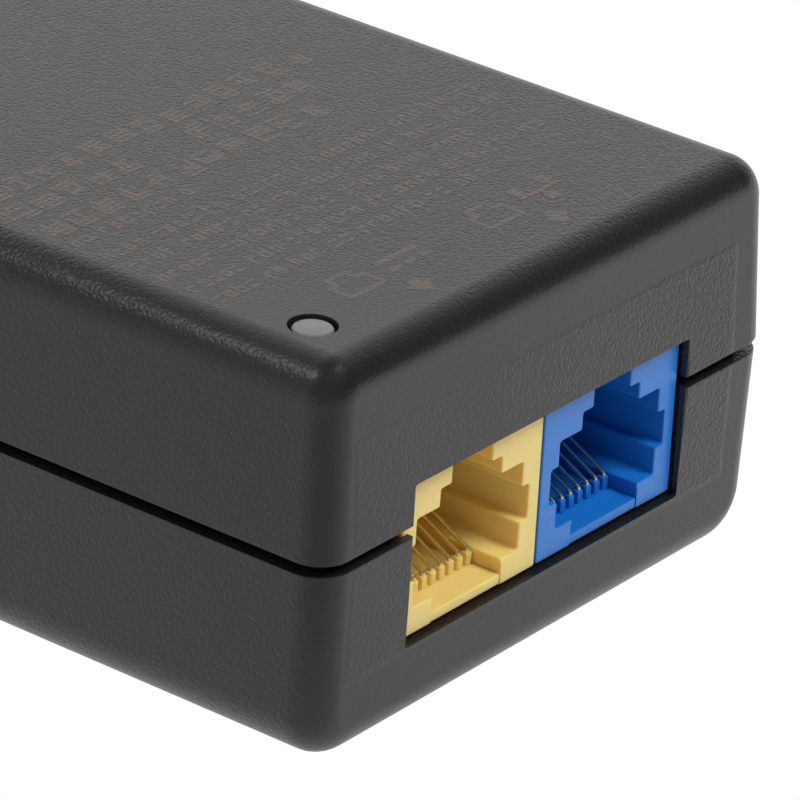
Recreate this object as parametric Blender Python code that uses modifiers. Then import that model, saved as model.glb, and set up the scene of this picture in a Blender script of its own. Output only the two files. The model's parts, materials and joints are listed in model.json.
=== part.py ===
"""PoE injector: a small mains-powered box that puts DC power onto a network cable.

The case is two black shells that meet at a shallow groove.  The port end holds a yellow powered jack and a
blue data jack side by side, the other end holds the mains inlet, and a status lamp shows through the top.
Frame: +X across the port face, +Y from the ports to the inlet, +Z up, origin at the middle of the underside.
Dimensions are in millimetres and are scaled to metres where a shape is made.
"""

import math

import bmesh
import bpy

MM = 0.001
FIT = 0.3                       # gap left between neighbouring pieces
ROUND = 20                      # sides of a plain round piece

# Case
CASE_W, CASE_L, CASE_H = 51.6, 100.0, 30.2
SEAM_Z, SEAM_GAP = 15.5, 0.8
WALL = 2.2
DRAFT_TOP, DRAFT_BASE = 0.040, 0.024
TOP_EDGE_R, BASE_EDGE_R, END_EDGE_R = 3.0, 4.0, 2.7
REBATE_WALL = 1.0               # outer part of the base wall that stands beside the lip
LIP_DROP = 2.0                  # how far the top shell's lip reaches below the seam
PORT_Y, INLET_Y = -CASE_L / 2, CASE_L / 2

# Port opening and the jacks behind it
OPENING_MID, OPENING_HALF, OPENING_LOW, OPENING_HIGH = -0.13, 15.83, 6.4, 18.95
PORT_SKIN = 0.62                # wall left in front of the jack housings
LIP_RELIEF = 0.9                # the lip stops this far outside the opening
JACK_PITCH, JACK_W, JACK_H, JACK_D = 16.05, 15.95, 13.2, 18.0
JACK_SPLIT_X = -0.45            # the line between the two jacks
JACK_Y, JACK_Z = PORT_Y + 0.79, 6.75
PLUG_DEPTH = 12.6
LEDGE_Z = 2.05                  # height of the side ledges above the jack's underside
PLUG_STEPS = (                  # half width, low, high, measured from the jack's underside
    (5.85, LEDGE_Z, 4.15), (6.75, 4.15, 6.9), (5.9, 6.9, 8.87), (3.35, 8.87, 10.25), (2.15, 10.25, 11.9))

# Contact carrier and its spring contacts, measured from the jack's front face and underside
CARRIER_HALF, CHANNEL_HALF = 3.8, 3.9
CARRIER_SETBACK, CARRIER_TOP, CARRIER_D = 0.05, 0.85, 16.0
COMB_FRONT, COMB_BACK, COMB_TOP = 2.45, 4.2, 1.6
CONTACTS, CONTACT_PITCH, WIRE_R = 8, 1.016, 0.165
RIB_GAP = 0.42                  # slot between two comb ribs; each rib stands under a contact
HINGE_Y, HINGE_Z, BEND_R = 2.86, 1.95, 0.2
LEG_LENGTH = 0.1
ARM_ANGLE, ARM_REACH = 28.0, 11.3

# Circuit board
BOARD_LOW, BOARD_T = 4.85, 1.6
BOARD_TOP = BOARD_LOW + BOARD_T
BOARD_X, BOARD_FRONT, BOARD_BACK = 22.6, -46.6, 32.4
SEAT_Z = BOARD_TOP + FIT        # parts on the board start here
BOARD_SCREWS = ((-4.0, 8.0), (19.6, -38.0))

# Case screws
POST_X, POST_YS, POST_R = 20.0, (-25.0, 41.0), 2.8
BOSS_TOP = 4.6
COUNTERBORE_R, COUNTERBORE_DEPTH = 2.95, 2.5
SCREW_HEAD_R, SCREW_HEAD_T, SCREW_R = 2.6, 1.7, 1.25

# Status lamp
LAMP_X, LAMP_Y, LAMP_HOLE_R, LAMP_R = -CASE_W / 2 + 5.8, PORT_Y + 6.5, 1.74, 1.47
LAMP_TOP = CASE_H - 0.1

# Mains inlet
INLET_HALF, INLET_HEIGHT, INLET_D = 14.0, 20.0, 16.4
INLET_FACE = INLET_Y - 0.5
CAVITY_HALF, CAVITY_HEIGHT, CAVITY_DEPTH, CAVITY_CHAMFER = 12.2, 16.4, 14.6, 4.0
PIN_W, PIN_H, PIN_TIP = 2.0, 4.0, 3.2
PIN_PLACES = {"line": (-7.0, -2.0), "neutral": (7.0, -2.0), "earth": (0.0, 2.0)}
PIN_TAIL_Y = 31.0

# Underside label
LABEL_X, LABEL_Y, LABEL_RECESS, LABEL_T = 17.0, 24.0, 0.4, 0.15

LOOKS = {                       # base colour, roughness, metallic
    "black_abs": ((0.035, 0.034, 0.035), 0.50, 0.0),
    "yellow_plastic": ((0.72, 0.52, 0.17), 0.42, 0.0),
    "blue_plastic": ((0.02, 0.16, 0.62), 0.40, 0.0),
    "gold_contact": ((0.83, 0.62, 0.27), 0.25, 1.0),
    "lamp_resin": ((0.42, 0.42, 0.43), 0.30, 0.0),
    "screw_steel": ((0.20, 0.20, 0.21), 0.35, 1.0),
    "board_green": ((0.03, 0.20, 0.07), 0.45, 0.0),
    "inlet_black": ((0.02, 0.02, 0.02), 0.35, 0.0),
    "plated_brass": ((0.75, 0.73, 0.68), 0.25, 1.0),
    "label_silver": ((0.55, 0.55, 0.56), 0.45, 0.0),
    "ceramic_white": ((0.80, 0.78, 0.72), 0.40, 0.0),
    "disc_blue": ((0.05, 0.20, 0.50), 0.40, 0.0),
    "capacitor_box": ((0.75, 0.60, 0.15), 0.45, 0.0),
    "capacitor_sleeve": ((0.03, 0.04, 0.08), 0.30, 0.0),
    "ferrite": ((0.06, 0.06, 0.065), 0.70, 0.0),
    "copper_wire": ((0.72, 0.33, 0.14), 0.30, 1.0),
    "winding_tape": ((0.85, 0.68, 0.12), 0.45, 0.0),
    "chip_epoxy": ((0.03, 0.03, 0.03), 0.55, 0.0),
    "sink_aluminium": ((0.70, 0.71, 0.72), 0.35, 1.0),
}


# ---------------------------------------------------------------- scene and helpers

def clear_scene():
    for ob in list(bpy.data.objects):
        bpy.data.objects.remove(ob, do_unlink=True)


def new_collection(name):
    group = bpy.data.collections.new(name)
    bpy.context.scene.collection.children.link(group)
    return group


def make_material(name):
    colour, roughness, metallic = LOOKS[name]
    mat = bpy.data.materials.new(name)
    mat.use_nodes = True
    shader = mat.node_tree.nodes["Principled BSDF"]
    shader.inputs["Base Color"].default_value = (*colour, 1.0)
    shader.inputs["Roughness"].default_value = roughness
    shader.inputs["Metallic"].default_value = metallic
    mat.diffuse_color = (*colour, 1.0)
    return mat


clear_scene()
PARTS = new_collection("poe_injector")
CUTTERS = new_collection("poe_injector_cutters")
MATERIALS = {name: make_material(name) for name in LOOKS}


def add_object(name, bm, look, centre=(0.0, 0.0, 0.0), turn=(0.0, 0.0, 0.0)):
    """Turn a millimetre bmesh into a named object; without a look it becomes a cutter or a blank."""
    bmesh.ops.scale(bm, vec=(MM, MM, MM), verts=bm.verts)
    mesh = bpy.data.meshes.new(name)
    bm.to_mesh(mesh)
    bm.free()
    ob = bpy.data.objects.new(name, mesh)
    ob.location = [c * MM for c in centre]
    ob.rotation_euler = [math.radians(a) for a in turn]
    if look:
        mesh.materials.append(MATERIALS[look])
        PARTS.objects.link(ob)
    else:
        ob.hide_render = True
        ob.display_type = "WIRE"
        CUTTERS.objects.link(ob)
    return ob


def add_block(bm, low, high):
    made = bmesh.ops.create_cube(bm, size=1.0)["verts"]
    for v in made:
        v.co = [lo + (c + 0.5) * (hi - lo) for lo, hi, c in zip(low, high, v.co)]


def box(name, low, high, look=None):
    """Box between two corners, placed by its centre."""
    centre = [(lo + hi) / 2 for lo, hi in zip(low, high)]
    half = [(hi - lo) / 2 for lo, hi in zip(low, high)]
    bm = bmesh.new()
    add_block(bm, [-h for h in half], half)
    return add_object(name, bm, look, centre)


def rod(name, radius, start, length, look=None, axis="Z", sides=ROUND, tip_radius=None):
    """Cylinder (or cone) of a given length whose first end is centred on start."""
    bm = bmesh.new()
    bmesh.ops.create_cone(bm, cap_ends=True, segments=sides, radius1=radius,
                          radius2=radius if tip_radius is None else tip_radius, depth=length)
    turn = {"X": (0, 90, 0), "Y": (-90, 0, 0), "Z": (0, 0, 0)}[axis]
    along = {"X": (1, 0, 0), "Y": (0, 1, 0), "Z": (0, 0, 1)}[axis]
    centre = [s + a * length / 2 for s, a in zip(start, along)]
    ob = add_object(name, bm, look, centre, turn)
    smooth(ob)
    return ob


def smooth(ob, angle=40.0):
    ob.data.shade_smooth()
    ob.data.set_sharp_from_angle(angle=math.radians(angle))


def boolean(ob, other, operation):
    mod = ob.modifiers.new(other.name, "BOOLEAN")
    mod.operation = operation
    mod.solver = "EXACT"
    mod.object = other
    return ob


def cut(ob, *cutters):
    for cutter in cutters:
        boolean(ob, cutter, "DIFFERENCE")
    return ob


def join(ob, *others):
    for other in others:
        boolean(ob, other, "UNION")
    return ob


def bevel(ob, width, segments=2):
    mod = ob.modifiers.new("edge_bevel", "BEVEL")
    mod.width = width * MM
    mod.segments = segments
    mod.limit_method = "ANGLE"
    mod.angle_limit = math.radians(50)
    return ob


# ---------------------------------------------------------------- case shells

def shell_form(name, seam_z, far_z, inset, draft, edge_r, segments, look=None):
    """Drafted half case from the seam plane to its far face, with rounded long edges and end edges."""
    half_x, half_y = CASE_W / 2 - inset, CASE_L / 2 - inset
    taper = draft * abs(far_z - seam_z)
    bm = bmesh.new()
    add_block(bm, (-half_x, -half_y, min(seam_z, far_z)), (half_x, half_y, max(seam_z, far_z)))
    for v in bm.verts:
        if abs(v.co.z - far_z) < 0.01:
            v.co.x -= math.copysign(taper, v.co.x)
            v.co.y -= math.copysign(taper, v.co.y)

    def on_far_face(edge):
        return all(abs(v.co.z - far_z) < 0.01 for v in edge.verts)

    def off_seam(edge):
        return any(abs(v.co.z - seam_z) > 0.01 for v in edge.verts)

    long_edges = [e for e in bm.edges if on_far_face(e) and abs(e.verts[0].co.y - e.verts[1].co.y) > 1]
    bmesh.ops.bevel(bm, geom=long_edges, offset=max(edge_r - inset, 1.2), segments=segments,
                    profile=0.5, affect="EDGES")
    end_faces = [f for f in bm.faces if abs(f.normal.y) > 0.9]
    end_edges = {e for f in end_faces for e in f.edges if off_seam(e)}
    bmesh.ops.bevel(bm, geom=list(end_edges), offset=max(END_EDGE_R - inset, 0.6), segments=segments,
                    profile=0.5, affect="EDGES")
    return add_object(name, bm, look)


def ring_block(name, inset, low, high):
    """Upright block with rounded corners that follows the case outline at a given inset."""
    half_x, half_y = CASE_W / 2 - inset, CASE_L / 2 - inset
    bm = bmesh.new()
    add_block(bm, (-half_x, -half_y, low), (half_x, half_y, high))
    upright = [e for e in bm.edges if abs(e.verts[0].co.z - e.verts[1].co.z) > 0.1]
    bmesh.ops.bevel(bm, geom=upright, offset=max(END_EDGE_R - inset, 0.5), segments=3,
                    profile=0.5, affect="EDGES")
    return add_object(name, bm, None)


def port_cutters(tag):
    """Opening in the skin and the pocket that clears the jack housings behind it."""
    outer_y = PORT_Y - 1.0
    pocket_y = PORT_Y + PORT_SKIN
    left = JACK_SPLIT_X - JACK_PITCH - FIT
    right = JACK_SPLIT_X + JACK_PITCH + FIT
    opening = box(f"cut_port_{tag}", (OPENING_MID - OPENING_HALF, outer_y, OPENING_LOW),
                  (OPENING_MID + OPENING_HALF, pocket_y + 1, OPENING_HIGH))
    pocket = box(f"cut_pocket_{tag}", (left, pocket_y, JACK_Z - FIT),
                 (right, JACK_Y + JACK_D, JACK_Z + JACK_H + FIT))
    return opening, pocket


def inlet_cutter(tag):
    half = INLET_HALF + FIT
    z_half = INLET_HEIGHT / 2 + FIT
    return box(f"cut_inlet_{tag}", (-half, INLET_Y - 5.0, SEAM_Z - z_half),
               (half, INLET_Y + 1.0, SEAM_Z + z_half))


def post_places():
    return [(sx * POST_X, y) for y in POST_YS for sx in (-1, 1)]


def make_top_shell():
    seam_top = SEAM_Z + SEAM_GAP / 2
    lip_low = SEAM_Z - SEAM_GAP / 2 - LIP_DROP + FIT
    shell = shell_form("top_shell", seam_top, CASE_H, 0.0, DRAFT_TOP, TOP_EDGE_R, 5, "black_abs")
    join(shell, ring_block("add_lip", REBATE_WALL + FIT, lip_low, seam_top + 1.0))
    cut(shell, shell_form("cut_top_cavity", lip_low - 1.0, CASE_H - WALL, WALL, DRAFT_TOP / 2, TOP_EDGE_R, 2))
    for i, (x, y) in enumerate(post_places()):
        post = rod(f"add_post_{i}", POST_R, (x, y, BOSS_TOP + FIT), CASE_H - WALL - BOSS_TOP, sides=14)
        join(shell, post)
        cut(shell, rod(f"cut_pilot_{i}", SCREW_R + FIT, (x, y, 0.0), 13.0, sides=14))
    cut(shell, *port_cutters("top"), inlet_cutter("top"))
    relief = OPENING_HALF + LIP_RELIEF
    cut(shell, box("cut_lip_port", (OPENING_MID - relief, PORT_Y, lip_low - 1),
                   (OPENING_MID + relief, PORT_Y + 5, seam_top)))
    cut(shell, rod("cut_lamp_hole", LAMP_HOLE_R, (LAMP_X, LAMP_Y, CASE_H - 5), 8, sides=24))
    smooth(shell, 35)
    return shell


def make_bottom_shell():
    seam_low = SEAM_Z - SEAM_GAP / 2
    shell = shell_form("bottom_shell", seam_low, 0.0, 0.0, DRAFT_BASE, BASE_EDGE_R, 5, "black_abs")
    cut(shell, shell_form("cut_base_cavity", seam_low + 1.0, WALL, WALL, DRAFT_BASE / 2, BASE_EDGE_R, 2))
    cut(shell, ring_block("cut_rebate", REBATE_WALL, seam_low - LIP_DROP, seam_low + 1.0))
    for i, (x, y) in enumerate(post_places()):
        join(shell, rod(f"add_boss_{i}", POST_R + 1.2, (x, y, WALL - 1), BOSS_TOP - WALL + 1, sides=14))
        cut(shell, rod(f"cut_head_{i}", COUNTERBORE_R, (x, y, -1.0), COUNTERBORE_DEPTH + 1.0, sides=16))
        cut(shell, rod(f"cut_shank_{i}", SCREW_R + FIT, (x, y, 0.0), 8.0, sides=14))
    for i, (x, y) in enumerate(BOARD_SCREWS):
        join(shell, rod(f"add_stand_{i}", 2.6, (x, y, WALL - 1), BOARD_LOW - FIT - WALL + 1, sides=14))
        cut(shell, rod(f"cut_stand_{i}", 1.2, (x, y, 2.6), 6.0, sides=12))
    cut(shell, *port_cutters("base"), inlet_cutter("base"))
    cut(shell, box("cut_label", (-LABEL_X, -LABEL_Y, -1.0), (LABEL_X, LABEL_Y, LABEL_RECESS)))
    smooth(shell, 35)
    return shell


def make_label():
    edge = 0.5
    low = LABEL_RECESS - 0.1 - LABEL_T
    return box("rating_label", (-LABEL_X + edge, -LABEL_Y + edge, low),
               (LABEL_X - edge, LABEL_Y - edge, low + LABEL_T), "label_silver")


def make_screw(name, x, y, head_low, head_up, length, shank_r, look="screw_steel"):
    """Pan-head screw with a cross recess; head_up is +1 when the head is above the shank."""
    head_high = head_low + SCREW_HEAD_T
    screw = rod(name, SCREW_HEAD_R, (x, y, head_low), SCREW_HEAD_T, look, sides=16,
                tip_radius=SCREW_HEAD_R - 0.3)
    shank_low = head_low - length if head_up > 0 else head_high
    shank = rod(f"add_{name}_shank", shank_r, (x, y, shank_low - 0.1), length + 0.2, sides=12)
    join(screw, shank)
    face = head_high if head_up > 0 else head_low
    arm, half_w, depth = 1.5, 0.3, 0.7
    for tag, hx, hy in (("a", arm, half_w), ("b", half_w, arm)):
        cut(screw, box(f"cut_{name}_{tag}", (x - hx, y - hy, face - depth), (x + hx, y + hy, face + depth)))
    return screw


def make_screws():
    for i, (x, y) in enumerate(post_places(), start=1):
        head_low = COUNTERBORE_DEPTH - FIT - SCREW_HEAD_T
        make_screw(f"case_screw_{i}", x, y, head_low, -1, 9.5, SCREW_R)
    for i, (x, y) in enumerate(BOARD_SCREWS, start=1):
        make_screw(f"board_screw_{i}", x, y, SEAT_Z, 1, 3.6, 0.85)


# ---------------------------------------------------------------- jacks

def jack_centre(index):
    """Centreline X of jack 0 (powered, left) or 1 (data, right)."""
    return JACK_SPLIT_X + (index - 0.5) * JACK_PITCH


def make_jack(prefix, index, look):
    cx = jack_centre(index)
    half = JACK_W / 2
    housing = box(f"{prefix}_jack_housing", (cx - half, JACK_Y, JACK_Z),
                  (cx + half, JACK_Y + JACK_D, JACK_Z + JACK_H), look)
    for i, (step_half, low, high) in enumerate(PLUG_STEPS):
        overlap = 0.02 if i else 0.0
        cut(housing, box(f"cut_{prefix}_step_{i}", (cx - step_half, JACK_Y - 1, JACK_Z + low - overlap),
                         (cx + step_half, JACK_Y + PLUG_DEPTH, JACK_Z + high)))
    cut(housing, box(f"cut_{prefix}_channel", (cx - CHANNEL_HALF, JACK_Y - 1, JACK_Z - 1),
                     (cx + CHANNEL_HALF, JACK_Y + CARRIER_D + 0.5, JACK_Z + LEDGE_Z + 0.1)))
    return housing


def make_carrier(prefix, index, look):
    """Floor plate with a comb of ribs, one under the bend of each contact."""
    cx = jack_centre(index)
    carrier = box(f"{prefix}_contact_carrier",
                  (cx - CARRIER_HALF, JACK_Y + CARRIER_SETBACK, JACK_Z + 0.05),
                  (cx + CARRIER_HALF, JACK_Y + CARRIER_D, JACK_Z + CARRIER_TOP), look)
    comb = box(f"add_{prefix}_comb", (cx - CARRIER_HALF, JACK_Y + COMB_FRONT, JACK_Z + CARRIER_TOP - 0.2),
               (cx + CARRIER_HALF, JACK_Y + COMB_BACK, JACK_Z + COMB_TOP))
    bm = bmesh.new()
    for x in contact_offsets()[:-1]:
        gap_mid = x + CONTACT_PITCH / 2
        add_block(bm, (gap_mid - RIB_GAP / 2, COMB_FRONT - 0.5, CARRIER_TOP + 0.05),
                  (gap_mid + RIB_GAP / 2, COMB_BACK + 0.5, COMB_TOP + 0.5))
    slots = add_object(f"cut_{prefix}_slots", bm, None, (cx, JACK_Y, JACK_Z))
    join(carrier, comb)
    cut(carrier, slots)
    return carrier


def contact_offsets():
    return [(i - (CONTACTS - 1) / 2) * CONTACT_PITCH for i in range(CONTACTS)]


def contact_path():
    """Centreline of one spring contact in its YZ plane, measured from its hinge."""
    points = [(-BEND_R, -LEG_LENGTH)]
    last = 90.0 + ARM_ANGLE
    steps = 3
    for i in range(steps + 1):
        angle = math.radians(180.0 + (last - 180.0) * i / steps)
        points.append((BEND_R * math.cos(angle), BEND_R * math.sin(angle)))
    reach = (ARM_REACH - HINGE_Y - points[-1][0]) / math.cos(math.radians(ARM_ANGLE))
    tip_y = points[-1][0] + reach * math.cos(math.radians(ARM_ANGLE))
    tip_z = points[-1][1] + reach * math.sin(math.radians(ARM_ANGLE))
    points.append((tip_y, tip_z))
    return points


def contact_mesh():
    """Wire along the contact path, made once and shared by all the contacts."""
    curve = bpy.data.curves.new("contact_wire", "CURVE")
    curve.dimensions = "3D"
    curve.bevel_depth = WIRE_R * MM
    curve.bevel_resolution = 1
    curve.use_fill_caps = True
    path = contact_path()
    spline = curve.splines.new("POLY")
    spline.points.add(len(path) - 1)
    for point, (y, z) in zip(spline.points, path):
        point.co = (0.0, y * MM, z * MM, 1.0)
    wire = bpy.data.objects.new("contact_wire", curve)
    CUTTERS.objects.link(wire)
    graph = bpy.context.evaluated_depsgraph_get()
    mesh = bpy.data.meshes.new_from_object(wire.evaluated_get(graph))
    bpy.data.objects.remove(wire, do_unlink=True)
    bm = bmesh.new()
    bm.from_mesh(mesh)
    bmesh.ops.remove_doubles(bm, verts=bm.verts, dist=0.001 * MM)
    bmesh.ops.recalc_face_normals(bm, faces=bm.faces)
    bm.to_mesh(mesh)
    bm.free()
    mesh.materials.clear()
    mesh.materials.append(MATERIALS["gold_contact"])
    return mesh


def make_contacts(prefix, index, mesh):
    """Eight contacts, each with its origin on its hinge line at the bend over the comb."""
    for i, x in enumerate(contact_offsets(), start=1):
        contact = bpy.data.objects.new(f"{prefix}_contact_{i}", mesh)
        contact.location = ((jack_centre(index) + x) * MM, (JACK_Y + HINGE_Y) * MM, (JACK_Z + HINGE_Z) * MM)
        PARTS.objects.link(contact)


# ---------------------------------------------------------------- mains inlet and status lamp

def cavity_form(name, deeper):
    """Plug-shaped block with its two upper corners cut off, reaching out past the inlet's face."""
    low_y = INLET_FACE - CAVITY_DEPTH - deeper
    bm = bmesh.new()
    add_block(bm, (-CAVITY_HALF, low_y, SEAM_Z - CAVITY_HEIGHT / 2),
              (CAVITY_HALF, INLET_FACE + 1.0, SEAM_Z + CAVITY_HEIGHT / 2))
    corners = [e for e in bm.edges
               if all(v.co.z > SEAM_Z for v in e.verts) and abs(e.verts[0].co.x - e.verts[1].co.x) < 0.01
               and abs(e.verts[0].co.y - e.verts[1].co.y) > 1]
    bmesh.ops.bevel(bm, geom=corners, offset=CAVITY_CHAMFER, segments=1, affect="EDGES")
    return add_object(name, bm, None)


def make_inlet():
    back = INLET_FACE - INLET_D
    low, high = SEAM_Z - INLET_HEIGHT / 2, SEAM_Z + INLET_HEIGHT / 2
    body = box("ac_inlet_body", (-INLET_HALF, back, low), (INLET_HALF, INLET_FACE, high), "inlet_black")
    flange_back = INLET_Y - WALL - 3.0
    join(body, box("add_inlet_flange", (-INLET_HALF - 1.2, flange_back, low - 0.6),
                   (INLET_HALF + 1.2, INLET_Y - WALL - FIT - 0.1, high + 0.6)))
    cut(body, cavity_form("cut_inlet_cavity", 0.0))
    for pin, (x, dz) in PIN_PLACES.items():
        z = SEAM_Z + dz
        cut(body, box(f"cut_pin_{pin}", (x - PIN_W / 2 - FIT, back - 1, z - PIN_H / 2 - FIT),
                      (x + PIN_W / 2 + FIT, back + 5, z + PIN_H / 2 + FIT)))
        make_pin(pin, x, z)
    return body


def make_pin(pin, x, z):
    """Flat blade in the inlet whose tail turns down into the board."""
    tip = INLET_FACE - PIN_TIP
    tail_half = 0.6
    blade = box(f"inlet_pin_{pin}", (x - PIN_W / 2, PIN_TAIL_Y - tail_half, z - PIN_H / 2),
                (x + PIN_W / 2, tip, z + PIN_H / 2), "plated_brass")
    tail = box(f"add_tail_{pin}", (x - 0.8, PIN_TAIL_Y - tail_half + 0.05, BOARD_LOW - 0.8),
               (x + 0.8, PIN_TAIL_Y + tail_half, z - PIN_H / 2 + 0.2))
    join(blade, tail)
    return blade


def make_lamp():
    """Round lamp on long leads, standing on the board under its hole."""
    flange_z = LAMP_TOP - 5.2
    lamp = rod("status_lamp", LAMP_R, (LAMP_X, LAMP_Y, flange_z), LAMP_TOP - flange_z, "lamp_resin", sides=24)
    join(lamp, rod("add_lamp_flange", LAMP_R + 0.4, (LAMP_X, LAMP_Y, flange_z - 0.9), 1.0, sides=24))
    for i, dx in enumerate((-1.27, 1.27)):
        join(lamp, box(f"add_lamp_lead_{i}", (LAMP_X + dx - 0.25, LAMP_Y - 0.25, SEAT_Z),
                       (LAMP_X + dx + 0.25, LAMP_Y + 0.25, flange_z - 0.5)))
    return lamp


# ---------------------------------------------------------------- board and its components

def make_board():
    board = box("main_board", (-BOARD_X, BOARD_FRONT, BOARD_LOW), (BOARD_X, BOARD_BACK, BOARD_TOP), "board_green")
    for i, (x, y) in enumerate(post_places()):
        if y < BOARD_BACK:
            cut(board, rod(f"cut_board_post_{i}", POST_R + 0.6, (x, y, BOARD_LOW - 1), 4, sides=14))
    for i, (x, y) in enumerate(BOARD_SCREWS):
        cut(board, rod(f"cut_board_screw_{i}", 1.25, (x, y, BOARD_LOW - 1), 4, sides=12))
    for pin, (x, _) in PIN_PLACES.items():
        cut(board, box(f"cut_board_{pin}", (x - 1.2, PIN_TAIL_Y - 1.0, BOARD_LOW - 1),
                       (x + 1.2, PIN_TAIL_Y + 1.0, BOARD_TOP + 1)))
    return board


def make_mains_side():
    rod("mains_fuse", 2.6, (-17.0, 17.0, SEAT_Z + 2.6), 10.0, "ceramic_white", axis="Y")
    rod("surge_varistor", 5.0, (-17.0, 10.0, SEAT_Z + 5.0), 4.0, "disc_blue", axis="Y")
    bevel(box("x_capacitor", (-12.0, 18.5, SEAT_Z), (6.0, 27.0, SEAT_Z + 14.5), "capacitor_box"), 0.6)
    bevel(box("bridge_rectifier", (-20.5, -2.0, SEAT_Z), (-14.0, 7.0, SEAT_Z + 3.4), "chip_epoxy"), 0.4, 1)
    rod("bulk_capacitor", 7.8, (12.0, 5.0, SEAT_Z), 20.0, "capacitor_sleeve", sides=28)
    make_choke()


def make_choke():
    """Ring core standing on edge with a wire winding on each half."""
    centre = (14.5, 23.0, SEAT_Z + 8.7)
    outer, inner, width = 7.5, 4.2, 7.0
    core = rod("choke_core", outer, (centre[0] - width / 2, *centre[1:]), width, "ferrite", axis="X", sides=28)
    cut(core, rod("cut_choke_core", inner, (centre[0] - width, *centre[1:]), 2 * width, axis="X", sides=24))
    for tag, mid_angle in (("line", 0.0), ("neutral", 180.0)):
        coil = winding_path(centre, (outer + inner) / 2, (outer - inner) / 2 + 0.85, width / 2 + 0.85, mid_angle)
        add_wire(f"choke_winding_{tag}", coil, 0.45, "copper_wire")


def winding_path(centre, ring_r, half_r, half_w, mid_angle, turns=6, spread=110.0):
    """Points of a square-cornered coil wound around one side of a ring whose axis is X."""
    corners = ((1, 1), (-1, 1), (-1, -1), (1, -1))
    total = turns * len(corners)
    points = []
    for i in range(total + 1):
        around = math.radians(mid_angle + spread * (i / total - 0.5))
        side, out = corners[i % len(corners)]
        radius = ring_r + half_r * out
        points.append((centre[0] + half_w * side,
                       centre[1] + radius * math.cos(around), centre[2] + radius * math.sin(around)))
    return points


def add_wire(name, points, radius, look):
    """Round wire through a list of points, with capped ends."""
    curve = bpy.data.curves.new(name, "CURVE")
    curve.dimensions = "3D"
    curve.bevel_depth = radius * MM
    curve.bevel_resolution = 0
    curve.use_fill_caps = True
    spline = curve.splines.new("POLY")
    spline.points.add(len(points) - 1)
    for point, place in zip(spline.points, points):
        point.co = (*[c * MM for c in place], 1.0)
    curve.materials.append(MATERIALS[look])
    ob = bpy.data.objects.new(name, curve)
    PARTS.objects.link(ob)
    return ob


def make_transformer():
    """Double-window core around a taped winding."""
    x0, x1, y0, y1, top = -11.0, 9.0, -16.0, -10.0, SEAT_Z + 17.4
    leg, centre_half, yoke = 2.5, 2.5, 2.9
    mid = (x0 + x1) / 2
    core = box("transformer_core", (x0, y0, SEAT_Z), (x1, y1, top), "ferrite")
    windows = ((x0 + leg, mid - centre_half), (mid + centre_half, x1 - leg))
    for i, (low, high) in enumerate(windows):
        cut(core, box(f"cut_window_{i}", (low, y0 - 1, SEAT_Z + yoke), (high, y1 + 1, top - yoke)))
    winding = box("transformer_winding", (x0 + leg + FIT, y0 - 3.5, SEAT_Z + yoke + FIT),
                  (x1 - leg - FIT, y1 + 3.5, top - yoke - FIT), "winding_tape")
    cut(winding, box("cut_winding", (mid - centre_half - FIT, y0 - FIT, SEAT_Z),
                     (mid + centre_half + FIT, y1 + FIT, top)))


def make_power_stage():
    sink = box("primary_heatsink", (-21.6, -20.0, SEAT_Z), (-20.2, -4.0, SEAT_Z + 17.0), "sink_aluminium")
    join(sink, box("add_sink_fold", (-20.4, -20.0, SEAT_Z + 15.6), (-16.0, -4.0, SEAT_Z + 17.0)))
    switch = box("switching_transistor", (-19.8, -17.0, SEAT_Z + 3.0), (-15.4, -7.0, SEAT_Z + 15.0), "chip_epoxy")
    for i, y in enumerate((-14.54, -12.0, -9.46)):
        join(switch, box(f"add_switch_leg_{i}", (-17.9, y - 0.4, SEAT_Z), (-17.3, y + 0.4, SEAT_Z + 3.2)))
    bevel(box("controller_chip", (-14.5, -29.8, SEAT_Z), (-9.5, -25.8, SEAT_Z + 1.5), "chip_epoxy"), 0.2, 1)
    bevel(box("optocoupler", (-7.2, -29.0, SEAT_Z), (-2.6, -22.6, SEAT_Z + 3.5), "chip_epoxy"), 0.3, 1)


def make_output_side():
    rod("y_capacitor", 4.0, (3.2, -26.2, SEAT_Z + 4.0), 3.4, "disc_blue", axis="Y")
    rod("output_rectifier", 2.6, (11.0, -8.0, SEAT_Z + 2.6), 9.0, "chip_epoxy", axis="X")
    rod("output_capacitor_1", 4.9, (15.5, -16.5, SEAT_Z), 16.0, "capacitor_sleeve", sides=24)
    rod("output_capacitor_2", 3.9, (12.0, -26.6, SEAT_Z), 12.0, "capacitor_sleeve", sides=24)


def make_all():
    make_top_shell()
    make_bottom_shell()
    make_label()
    make_screws()
    wire = contact_mesh()
    for prefix, index, look in (("poe", 0, "yellow_plastic"), ("lan", 1, "blue_plastic")):
        make_jack(prefix, index, look)
        make_carrier(prefix, index, look)
        make_contacts(prefix, index, wire)
    make_inlet()
    make_lamp()
    make_board()
    make_mains_side()
    make_transformer()
    make_power_stage()
    make_output_side()


make_all()
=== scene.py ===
"""Looks of the two-port power injector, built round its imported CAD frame."""

import json
import math
import random

import bmesh
import bpy
from mathutils import Matrix, Vector


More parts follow.
